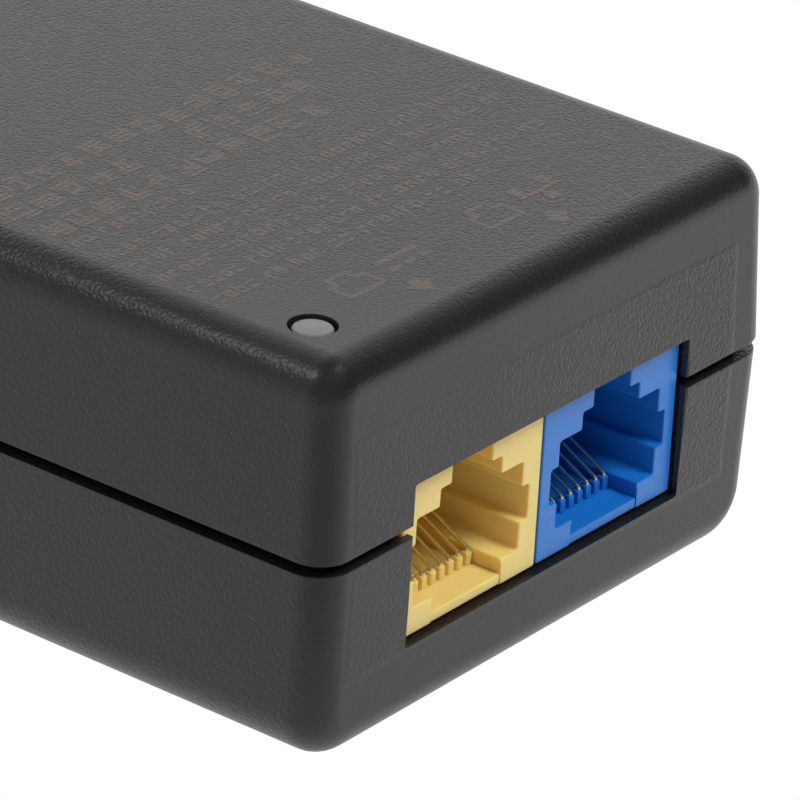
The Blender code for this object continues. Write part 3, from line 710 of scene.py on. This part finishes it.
def small_mark(out, x, y, wide, tall, dice):
    """One short cluster of strokes: not a letter."""
    w = SMALL_STROKE
    kind = dice.choice((0, 1, 2, 3))
    drop = dice.choice((0.0, 0.0, -0.22)) * tall
    high = y + tall * dice.choice((0.72, 0.72, 1.0))
    low = y + drop * (kind == 1)
    if kind != 3:
        bar(out, x, low, x + w, high)
    if kind in (0, 2):
        bar(out, x + wide - w, y, x + wide, y + 0.72 * tall)
    if kind in (0, 3):
        bar(out, x, y, x + wide, y + w)
    bar(out, x, y + 0.72 * tall - w, x + wide, y + 0.72 * tall)


def port_icon(out, x, y, tall):
    """Outline of a modular jack seen from its mouth."""
    w, wide = 0.42, 4.0
    bar(out, x, y, x + wide, y + w)
    bar(out, x, y, x + w, y + 0.7 * tall)
    bar(out, x + wide - w, y, x + wide, y + 0.7 * tall)
    bar(out, x, y + 0.7 * tall - w, x + 0.3 * wide, y + 0.7 * tall)
    bar(out, x + 0.7 * wide, y + 0.7 * tall - w, x + wide, y + 0.7 * tall)
    bar(out, x + 0.3 * wide - w, y + 0.7 * tall - w, x + 0.3 * wide, y + tall)
    bar(out, x + 0.7 * wide, y + 0.7 * tall - w, x + 0.7 * wide + w, y + tall)
    bar(out, x + 0.3 * wide - w, y + tall - w, x + 0.7 * wide + w, y + tall)


def supply_icon(out, x, y, tall):
    """Solid bar over a broken bar: direct current supplied here."""
    w, wide = 0.55, 4.6
    bar(out, x, y + 0.62 * tall, x + wide, y + 0.62 * tall + w)
    for i in range(3):
        a = x + i * wide * 0.37
        bar(out, a, y + 0.22 * tall, a + wide * 0.26, y + 0.22 * tall + w)


def network_icon(out, x, y, tall):
    """Three nodes on a bus."""
    w, s, wide = 0.36, 1.1, 4.6
    mid = y + tall / 2
    bar(out, x, mid - w / 2, x + wide, mid + w / 2)
    for cx, up in ((0.15, 1), (0.5, -1), (0.85, 1)):
        px = x + cx * wide
        end = y + tall - s if up > 0 else y
        bar(out, px - w / 2, min(mid, end), px + w / 2, max(mid, end + s))
        bar(out, px - s / 2, end, px + s / 2, end + s)


def arrow(out, x, y0, y1):
    """Arrow towards the port."""
    wide, neck, head = 1.3, 0.5, 1.5
    bar(out, x - neck, y0 + head, x + neck, y1)
    out.append([(x, y0), (x + wide, y0 + head), (x - wide, y0 + head)])


def make_print():
    dice = random.Random(7)
    shapes = []
    for y, runs, tall in LARGE_ROWS:
        for start, end in runs:
            x = start
            while x + tall <= end + 0.1:
                large_mark(shapes, x, y - tall / 2, tall * 0.92, dice)
                x += tall * 1.08
    for y, runs, tall in SMALL_ROWS:
        for start, end in runs:
            x, left = start, dice.randint(2, 7)
            while x < end - 0.8:
                wide = dice.uniform(0.75, 1.0)
                small_mark(shapes, x, y - tall / 2, wide, tall, dice)
                x += wide + 0.3
                left -= 1
                if left == 0:
                    x += 0.75
                    left = dice.randint(2, 7)
    signs = ((POE_ICONS_X, supply_icon), (LAN_ICONS_X, network_icon))
    for (jack_x, sign_x, _), sign in signs:
        port_icon(shapes, jack_x, ICON_Y, ICON_H)
        sign(shapes, sign_x, ICON_Y, ICON_H)
    for (_, _, arrow_x), _ in signs:
        arrow(shapes, arrow_x, ARROW_TIP, ARROW_END)
    bm = bmesh.new()
    low = CASE_H - PRINT_RISE - 0.01
    for i, shape in enumerate(shapes):
        high = CASE_H - 0.0002 * (i % 9)
        add_loft(bm, [along_z(shape, low), along_z(shape, high)])
    place(solid("top_print", bm), LOOKS["ink"], weighted=False)


# ---------------------------------------------------------------- jacks and their contacts

def plug_outline(cx, z, left_extra):
    right = [(cx + x, z + h) for x, h in PLUG_OUTLINE]
    left = [(cx - x - left_extra, z + h) for x, h in reversed(PLUG_OUTLINE)]
    return right + left


def make_jack(prefix, look):
    low, high = node_box(f"{prefix}_jack_housing")
    cx = (low.x + high.x) / 2
    outline = round_corners(rectangle(low.x + JACK_GAP, high.x - JACK_GAP, low.z, high.z), 0.2, 3)
    rings = [along_y(offset(outline, -inset), low.y + deep) for inset, deep in quarter(JACK_FRONT_R)]
    rings.append(along_y(outline, high.y))
    body = lofted(f"{prefix}_jack_body", rings)
    extra = POE_LEFT_EXTRA if prefix == "poe" else 0.0
    plug = round_corners(plug_outline(cx, low.z, extra), JACK_PROFILE_R, 4)
    rings = [along_y(offset(plug, JACK_FRONT_R), low.y - 1.0)]
    rings += [along_y(offset(plug, out), low.y + deep) for out, deep in quarter(JACK_FRONT_R)]
    rings.append(along_y(plug, low.y + PLUG_DEPTH))
    cut(body, lofted("plug_cavity", rings))
    channel_end = node_box(f"{prefix}_contact_carrier")[1].y + 0.5
    lip = 0.08
    side = [(GROOVE_HALF, -1.0), (GROOVE_HALF, GROOVE_TOP), (CHANNEL_HALF, GROOVE_TOP + lip),
            (CHANNEL_HALF, LEDGE_Z - lip), (CHANNEL_HALF + lip, LEDGE_Z),
            (CHANNEL_HALF + lip, LEDGE_Z + 0.3)]
    channel = [(cx + x, low.z + h) for x, h in side] + [(cx - x, low.z + h) for x, h in reversed(side)]
    cut(body, lofted("channel", [along_y(channel, low.y - 1.0), along_y(channel, channel_end)]))
    place(body, look, stands_for=(f"{prefix}_jack_housing",))


def make_carrier(prefix, look, hinges):
    """Floor plate with a rounded plastic finger under the bend of each wire."""
    low, high = node_box(f"{prefix}_contact_carrier")
    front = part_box(f"{prefix}_jack_housing")[0]
    front_y, base_z = front.y / MM, front.z / MM
    cx = (low.x + high.x) / 2
    outline = rectangle(cx - PLATE_HALF, cx + PLATE_HALF, low.z, base_z + CARRIER_TOP)
    rings = [along_y(offset(outline, -inset), low.y + deep) for inset, deep in quarter(0.1)]
    rings.append(along_y(outline, high.y))
    plate = lofted(f"{prefix}_carrier", rings)
    z0, z1 = base_z + CARRIER_TOP - 0.2, base_z + FINGER_TOP
    for x in hinges:
        back_y = front_y + FINGER_BACK
        nose = [(back_y, z0), (back_y, z0 + FINGER_HEEL), (front_y + FINGER_CREST, z1)]
        nose += arc((front_y + FINGER_FRONT + FINGER_NOSE_R, z1 - FINGER_NOSE_R), FINGER_NOSE_R, 90, 180, 5)
        nose.append((front_y + FINGER_FRONT, z0))
        rings = []
        for out, deep in quarter(0.12):
            rings.append([(x - FINGER_HALF + deep, y, z) for y, z in offset(nose, -out)])
        rings += [[(2 * x - px, y, z) for px, y, z in ring] for ring in reversed(rings)]
        join(plate, lofted("finger", rings))
    place(plate, look, stands_for=(f"{prefix}_contact_carrier",))


def wire_mesh(name, reach):
    """Spring wire about its bend: short leg in the carrier, bend, then the long rising arm."""
    points = [(-BEND_R, -LEG_LENGTH), (-BEND_R, -LEG_LENGTH / 2)]
    points += arc((0.0, 0.0), BEND_R, 180, 90 + ARM_ANGLE, 9)
    start = points[-1]
    run = reach - start[0]
    rise = run * math.tan(math.radians(ARM_ANGLE))
    for t in (0.02, 0.3, 0.6, 0.9, 1.0):
        points.append((start[0] + run * t, start[1] + rise * t))
    curve = bpy.data.curves.new(name, "CURVE")
    curve.dimensions = "3D"
    curve.bevel_depth = WIRE_R * MM
    curve.bevel_resolution = 4
    curve.use_fill_caps = True
    spline = curve.splines.new("POLY")
    spline.points.add(len(points) - 1)
    for point, (y, z) in zip(spline.points, points):
        point.co = (0.0, y * MM, z * MM, 1.0)
    ob = bpy.data.objects.new(name, curve)
    bpy.context.scene.collection.objects.link(ob)
    mesh = evaluated_mesh(ob)
    bpy.data.objects.remove(ob, do_unlink=True)
    bm = bmesh.new()
    bm.from_mesh(mesh)
    bmesh.ops.remove_doubles(bm, verts=bm.verts, dist=0.0005 * MM)
    bmesh.ops.recalc_face_normals(bm, faces=bm.faces)
    bm.to_mesh(mesh)
    bm.free()
    return mesh


def make_wires():
    anchors = {j["child"]: Vector(j["pos_m"]) / MM for j in frame["joints"]}
    for prefix in ("poe", "lan"):
        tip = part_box(f"{prefix}_contact_1")[1].y / MM
        hinge = anchors[f"{prefix}_arm_1"]
        reach = tip - hinge.y - WIRE_R * math.sin(math.radians(ARM_ANGLE))
        mesh = wire_mesh(f"{prefix}_wire_shape", reach)
        for i in range(1, 9):
            wire = bpy.data.objects.new(f"{prefix}_wire_{i}", mesh.copy())
            wire.matrix_world = Matrix.Translation(anchors[f"{prefix}_arm_{i}"] * MM)
            bpy.context.scene.collection.objects.link(wire)
            place(wire, LOOKS["wire"], f"{prefix}_arm_{i}",
                  (f"{prefix}_contact_{i}",), weighted=False)
    return anchors


# ---------------------------------------------------------------- lamp, inlet, screws, label

def make_lamp():
    low, high = node_box("status_lamp")
    x, y = (low.x + high.x) / 2, (low.y + high.y) / 2
    flange_r = (high.x - low.x) / 2
    radius = flange_r - LENS_FLANGE_STEP
    flange = high.z - LENS_FLANGE_DROP
    flange_top, edge_z = flange + LENS_FLANGE_T, high.z - LENS_EDGE_R
    profile = [(flange_r - 0.1, flange), (flange_r, flange + 0.1), (flange_r, flange_top - 0.1),
               (flange_r - 0.1, flange_top), (radius, flange_top), (radius, edge_z)]
    profile += [(radius - LENS_EDGE_R * (1 - math.cos(a)), edge_z + LENS_EDGE_RISE * math.sin(a))
                for a in (math.pi / 2 * i / 4 for i in range(1, 5))]
    profile += [(radius * 0.45, high.z - 0.01), (0.05, high.z)]
    lamp = turned("status_lamp_lens", x, y, profile, 64)
    for dx in (-LEAD_X, LEAD_X):
        join(lamp, block("lead", (x + dx - LEAD_HALF, y - LEAD_HALF, low.z),
                         (x + dx + LEAD_HALF, y + LEAD_HALF, flange + 0.3)))
    place(lamp, LOOKS["lens"], stands_for=("status_lamp",))


def make_inlet():
    low, high = node_box("ac_inlet_body")
    z0, z1 = SEAM_Z - INLET_HEIGHT / 2, SEAM_Z + INLET_HEIGHT / 2
    outline = round_corners(rectangle(-INLET_HALF, INLET_HALF, z0, z1), 1.0, 5)
    rings = [along_y(outline, low.y)]
    rings += [along_y(offset(outline, -inset), high.y - deep) for inset, deep in reversed(quarter(0.35, 4))]
    body = lofted("inlet_body", rings)
    flange_back = INLET_Y - WALL - 3.0
    flange = round_corners(rectangle(low.x, high.x, low.z, high.z), 1.4, 5)
    join(body, lofted("flange", [along_y(flange, flange_back),
                                 along_y(flange, INLET_Y - WALL - FIT - 0.1)]))
    half, h = CAVITY_HALF, CAVITY_HEIGHT / 2
    mouth = [(-half, SEAM_Z - h), (half, SEAM_Z - h), (half, SEAM_Z + h - CAVITY_CHAMFER),
             (half - CAVITY_CHAMFER, SEAM_Z + h), (CAVITY_CHAMFER - half, SEAM_Z + h),
             (-half, SEAM_Z + h - CAVITY_CHAMFER)]
    mouth = round_corners(mouth, 0.7, 4)
    rings = [along_y(mouth, high.y - CAVITY_DEPTH)]
    rings += [along_y(offset(mouth, out), high.y - deep) for out, deep in reversed(quarter(0.3, 4))]
    rings.append(along_y(offset(mouth, 0.3), high.y + 1.0))
    cut(body, lofted("mouth", rings))
    for pin in ("line", "neutral", "earth"):
        p_low, p_high = node_box(f"inlet_pin_{pin}")
        x, z = (p_low.x + p_high.x) / 2, p_high.z - PIN_HALF_H
        half_w, half_h = PIN_HALF_W + FIT, PIN_HALF_H + FIT
        slot = rectangle(x - half_w, x + half_w, z - half_h, z + half_h)
        cut(body, lofted("slot", [along_y(slot, low.y - 1), along_y(slot, low.y + 5)]))
        face = round_corners(rectangle(x - PIN_HALF_W, x + PIN_HALF_W,
                                       z - PIN_HALF_H, z + PIN_HALF_H), 0.3, 3)
        rings = [along_y(face, p_low.y), along_y(face, p_high.y - 1.6), 
                 along_y(offset(face, -0.25), p_high.y - 0.5), along_y(offset(face, -0.6), p_high.y)]
        blade = lofted(f"inlet_blade_{pin}", rings)
        join(blade, block("tail", (x - PIN_TAIL_HALF, p_low.y + PIN_TAIL_FROM, p_low.z),
                          (x + PIN_TAIL_HALF, p_low.y + PIN_TAIL_TO, z - PIN_HALF_H + 0.2)))
        place(blade, LOOKS["plated"], stands_for=(f"inlet_pin_{pin}",))
    place(body, LOOKS["inlet"], stands_for=("ac_inlet_body",))


def thread(start, end, root, crest, pitch):
    """(radius, height) pairs of the ridges up a shank."""
    out, z = [], start
    while z + pitch < end:
        out += [(root, z + 0.25 * pitch), (crest, z + 0.5 * pitch), (root, z + 0.75 * pitch)]
        z += pitch
    return out


def cut_cross(screw, x, y, crown, inwards):
    """Cross recess in a crown; inwards is +1 when the screw points up and -1 when it points down."""
    for hx, hy in CROSS:
        rings = [along_z(rectangle(x - hx * share, x + hx * share, y - hy * share, y + hy * share),
                         crown + inwards * depth) for depth, share in RECESS]
        cut(screw, lofted("recess", rings[::inwards]))


def make_screws():
    """Pan-head screws with a cross recess and ridged shanks: the case's point up, the board's down."""
    for i, (x, y, z0, z1) in enumerate(screw_places("case_screw", 4), start=1):
        root, neck, tip = CASE_THREAD[0], z0 + HEAD_DEPTH, z1 - SCREW_TIP
        profile = [(r, z0 + depth) for r, depth in PAN_HEAD] + [(root, neck)]
        profile += thread(neck, tip, *CASE_THREAD) + [(root, tip), (root - 0.3, z1)]
        screw = turned(f"case_screw_body_{i}", x, y, profile, 40)
        cut_cross(screw, x, y, z0, 1)
        place(screw, LOOKS["screw"], stands_for=(f"case_screw_{i}",))
    for i, (x, y, z0, z1) in enumerate(screw_places("board_screw", 2), start=1):
        root, neck, tip = BOARD_THREAD[0], z1 - HEAD_DEPTH, z0 + SCREW_TIP
        profile = [(root - 0.15, z0), (root, tip)] + thread(tip, neck, *BOARD_THREAD) + [(root, neck)]
        profile += [(r, z1 - depth) for r, depth in reversed(PAN_HEAD)]
        screw = turned(f"board_screw_body_{i}", x, y, profile, 40)
        cut_cross(screw, x, y, z1, -1)
        place(screw, LOOKS["screw"], stands_for=(f"board_screw_{i}",))


def make_label():
    """Silver film with rows of plain bars: no lettering, no marks."""
    low, high = node_box("rating_label")
    outline = round_corners(rectangle(low.x, high.x, low.y, high.y), 1.0, 5)
    film = lofted("label_film", [along_z(outline, low.z + 0.02), along_z(outline, high.z)])
    place(film, LOOKS["label"], stands_for=("rating_label",))
    dice = random.Random(11)
    bm = bmesh.new()
    y = high.y - LABEL_TOP_GAP
    row = 0
    while y > low.y + LABEL_TOP_GAP:
        x = low.x + LABEL_SIDE_GAP
        end = high.x - dice.uniform(LABEL_SIDE_GAP, 14.0)
        while x < end:
            wide = dice.uniform(1.5, 5.0)
            add_box(bm, (x, y, low.z + 0.004), (min(x + wide, end), y + LABEL_BAR_TALL, low.z + 0.03))
            x += wide + LABEL_BAR_GAP
        row += 1
        y -= LABEL_ROW_PITCH if row % LABEL_GROUP else LABEL_GROUP_PITCH
    place(solid("label_rows", bm), LOOKS["label_ink"], weighted=False)


# ---------------------------------------------------------------- inside parts carried from the CAD frame

CARRIED = {
    "main_board": ("board", 0.1), "mains_fuse": ("ceramic", 0.2), "surge_varistor": ("dipped", 0.5),
    "x_capacitor": ("box", 0.35), "choke_core": ("ferrite", 0.3), "choke_winding_line": ("copper", 0.0),
    "choke_winding_neutral": ("copper", 0.0), "bridge_rectifier": ("chip", 0.12),
    "bulk_capacitor": ("sleeve", 0.5), "transformer_core": ("ferrite", 0.3),
    "transformer_winding": ("tape", 0.4), "switching_transistor": ("chip", 0.12),
    "primary_heatsink": ("heatsink", 0.15), "controller_chip": ("chip", 0.08),
    "optocoupler": ("chip", 0.08),
    "y_capacitor": ("dipped", 0.4), "output_rectifier": ("chip", 0.1),
    "output_capacitor_1": ("sleeve", 0.4), "output_capacitor_2": ("sleeve", 0.4),
}


def dress_inside():
    for node, (look, edge) in CARRIED.items():
        ob = frame["nodes"][node]
        paint(ob.data, LOOKS[look])
        if edge:
            soften(ob, edge)
        mod = ob.modifiers.new("flat_faces", "WEIGHTED_NORMAL")
        mod.keep_sharp = True


# ---------------------------------------------------------------- stage, light and camera

CAMERA_AT = (-343.884, -289.516, 224.564)     # millimetres
AZIMUTH, ELEVATION, ROLL = -53.640, 26.135, 3.437
LENS, SENSOR = 303.97, 36.0


def unit(azimuth, elevation):
    """Direction from the object, azimuth 0 towards -Y and positive towards +X."""
    a, e = math.radians(azimuth), math.radians(elevation)
    return Vector((math.sin(a) * math.cos(e), -math.cos(a) * math.cos(e), math.sin(e)))


def make_camera():
    back = unit(AZIMUTH, ELEVATION)
    right = (-back).cross(Vector((0, 0, 1))).normalized()
    up = right.cross(-back)
    c, s = math.cos(math.radians(ROLL)), math.sin(math.radians(ROLL))
    axes = Matrix((right * c + up * s, up * c - right * s, back)).transposed().to_4x4()
    data = bpy.data.cameras.new("camera")
    data.lens, data.sensor_width = LENS, SENSOR
    data.clip_start, data.clip_end = 0.01, 20.0
    camera = bpy.data.objects.new("camera", data)
    camera.matrix_world = Matrix.Translation(Vector(CAMERA_AT) * MM) @ axes
    bpy.context.scene.collection.objects.link(camera)
    bpy.context.scene.camera = camera


def white_to_camera(tree, level):
    """level as a light source, 1 where the camera looks straight at it."""
    seen = tree.nodes.new("ShaderNodeLightPath").outputs["Is Camera Ray"]
    mix = tree.nodes.new("ShaderNodeMix")
    tree.links.new(seen, mix.inputs[0])
    tree.links.new(level, mix.inputs[2])
    mix.inputs[3].default_value = 1.0
    return mix.outputs[0]


def world_lobe(tree, direction, centre, low, high):
    """1 where the direction is near centre, 0 away from it, smooth between two cosines."""
    dot = tree.nodes.new("ShaderNodeVectorMath")
    dot.operation = "DOT_PRODUCT"
    dot.inputs[1].default_value = centre
    tree.links.new(direction, dot.inputs[0])
    span = tree.nodes.new("ShaderNodeMapRange")
    span.interpolation_type = "SMOOTHSTEP"
    span.inputs["From Min"].default_value = low
    span.inputs["From Max"].default_value = high
    tree.links.new(dot.outputs["Value"], span.inputs["Value"])
    return span.outputs[0]


WORLD_DARK = 0.048
LOBES = (  # azimuth, elevation, half angle where it starts, half angle where it is full, strength
    (135.0, 10.0, 70.0, 18.0, 1.08),      # bright wall behind, to the right
    (-126.0, -5.0, 45.0, 10.0, 0.60),     # left wall near the table
    (-60.0, 35.0, 80.0, 20.0, 0.224),     # fill from the viewer's side
)


def make_world():
    world = bpy.data.worlds.new("studio")
    world.use_nodes = True
    tree = world.node_tree
    tree.nodes.clear()
    coord = tree.nodes.new("ShaderNodeTexCoord").outputs["Generated"]
    total = None
    for azimuth, elevation, outer, inner, strength in LOBES:
        lobe = world_lobe(tree, coord, unit(azimuth, elevation), math.cos(math.radians(outer)),
                          math.cos(math.radians(inner)))
        node = tree.nodes.new("ShaderNodeMath")
        node.operation = "MULTIPLY_ADD"
        tree.links.new(lobe, node.inputs[0])
        node.inputs[1].default_value = strength
        if total is None:
            node.inputs[2].default_value = WORLD_DARK
        else:
            tree.links.new(total, node.inputs[2])
        total = node.outputs[0]
    background = tree.nodes.new("ShaderNodeBackground")
    background.inputs["Color"].default_value = (1.0, 1.0, 1.0, 1.0)
    tree.links.new(white_to_camera(tree, total), background.inputs["Strength"])
    output = tree.nodes.new("ShaderNodeOutputWorld")
    tree.links.new(background.outputs[0], output.inputs["Surface"])
    bpy.context.scene.world = world


FLOOR_HALF, FLOOR_LOW, FLOOR_TOP = 4000.0, -1.2, -0.2         # millimetres
FLOOR_DIM, FLOOR_LEFT, FLOOR_RIGHT = 0.50, 0.88, 1.15
RIGHT_FROM, RIGHT_TO = -30.0, 60.0                             # millimetres across
DIM_AT, DIM_FROM, DIM_TO = (-66.0, -88.0, 0.0), 22.0, 62.0     # millimetres


def floor_ramp(tree, value, start, end, low, high):
    """Smooth step from low to high between two distances in millimetres.

    high may be another node's output.
    """
    ramp = tree.nodes.new("ShaderNodeMapRange")
    ramp.interpolation_type = "SMOOTHSTEP"
    ramp.inputs["From Min"].default_value = start * MM
    ramp.inputs["From Max"].default_value = end * MM
    tree.links.new(value, ramp.inputs["Value"])
    ramp.inputs["To Min"].default_value = low
    if isinstance(high, float):
        ramp.inputs["To Max"].default_value = high
    else:
        tree.links.new(high, ramp.inputs["To Max"])
    return ramp.outputs[0]


def make_floor():
    """Plain white sweep: evenly white to the camera, dimmer as a light near the front left corner."""
    floor = block("floor", (-FLOOR_HALF, -FLOOR_HALF, FLOOR_LOW), (FLOOR_HALF, FLOOR_HALF, FLOOR_TOP))
    mat = bpy.data.materials.new("white_sweep")
    mat.use_nodes = True
    tree = mat.node_tree
    tree.nodes.clear()
    gap = tree.nodes.new("ShaderNodeVectorMath")
    gap.operation = "DISTANCE"
    gap.inputs[1].default_value = [v * MM for v in DIM_AT]
    position = tree.nodes.new("ShaderNodeNewGeometry").outputs["Position"]
    tree.links.new(position, gap.inputs[0])
    across = tree.nodes.new("ShaderNodeSeparateXYZ")
    tree.links.new(position, across.inputs[0])
    bright = floor_ramp(tree, across.outputs[0], RIGHT_FROM, RIGHT_TO, FLOOR_LEFT, FLOOR_RIGHT)
    level = floor_ramp(tree, gap.outputs["Value"], DIM_FROM, DIM_TO, FLOOR_DIM, bright)
    glow = tree.nodes.new("ShaderNodeEmission")
    tree.links.new(white_to_camera(tree, level), glow.inputs["Strength"])
    output = tree.nodes.new("ShaderNodeOutputMaterial")
    tree.links.new(glow.outputs[0], output.inputs["Surface"])
    floor.data.materials.append(mat)


LIGHTS = (  # name, azimuth, elevation, distance m, size m, power W, shows in reflections
    ("front_fill", 20.0, 60.0, 0.9, 0.50, 6.4, False),
    ("rear_softbox", -131.0, 50.0, 0.8, 0.17, 0.85, True),
    ("spark", 40.0, 66.0, 0.9, 0.06, 0.40, True),
)


def make_lights():
    aim = Vector((0.0, PORT_Y * 0.8, CASE_H * 0.5)) * MM
    for name, azimuth, elevation, distance, size, power, glossy in LIGHTS:
        data = bpy.data.lights.new(name, "AREA")
        data.shape = "DISK"
        data.size = size
        data.energy = power
        light = bpy.data.objects.new(name, data)
        light.location = aim + unit(azimuth, elevation) * distance
        light.rotation_euler = (aim - light.location).to_track_quat("-Z", "Y").to_euler()
        light.visible_camera = False
        light.visible_glossy = glossy
        bpy.context.scene.collection.objects.link(light)


# ---------------------------------------------------------------- everything together

make_top()
make_bottom()
make_print()
ANCHORS = make_wires()
for prefix, look in (("poe", LOOKS["yellow"]), ("lan", LOOKS["blue"])):
    make_jack(prefix, look)
    make_carrier(prefix, look, [ANCHORS[f"{prefix}_arm_{i}"].x for i in range(1, 9)])
make_lamp()
make_inlet()
make_screws()
make_label()
dress_inside()
make_floor()
make_world()
make_lights()
make_camera()
bpy.context.scene.view_settings.view_transform = "Standard"
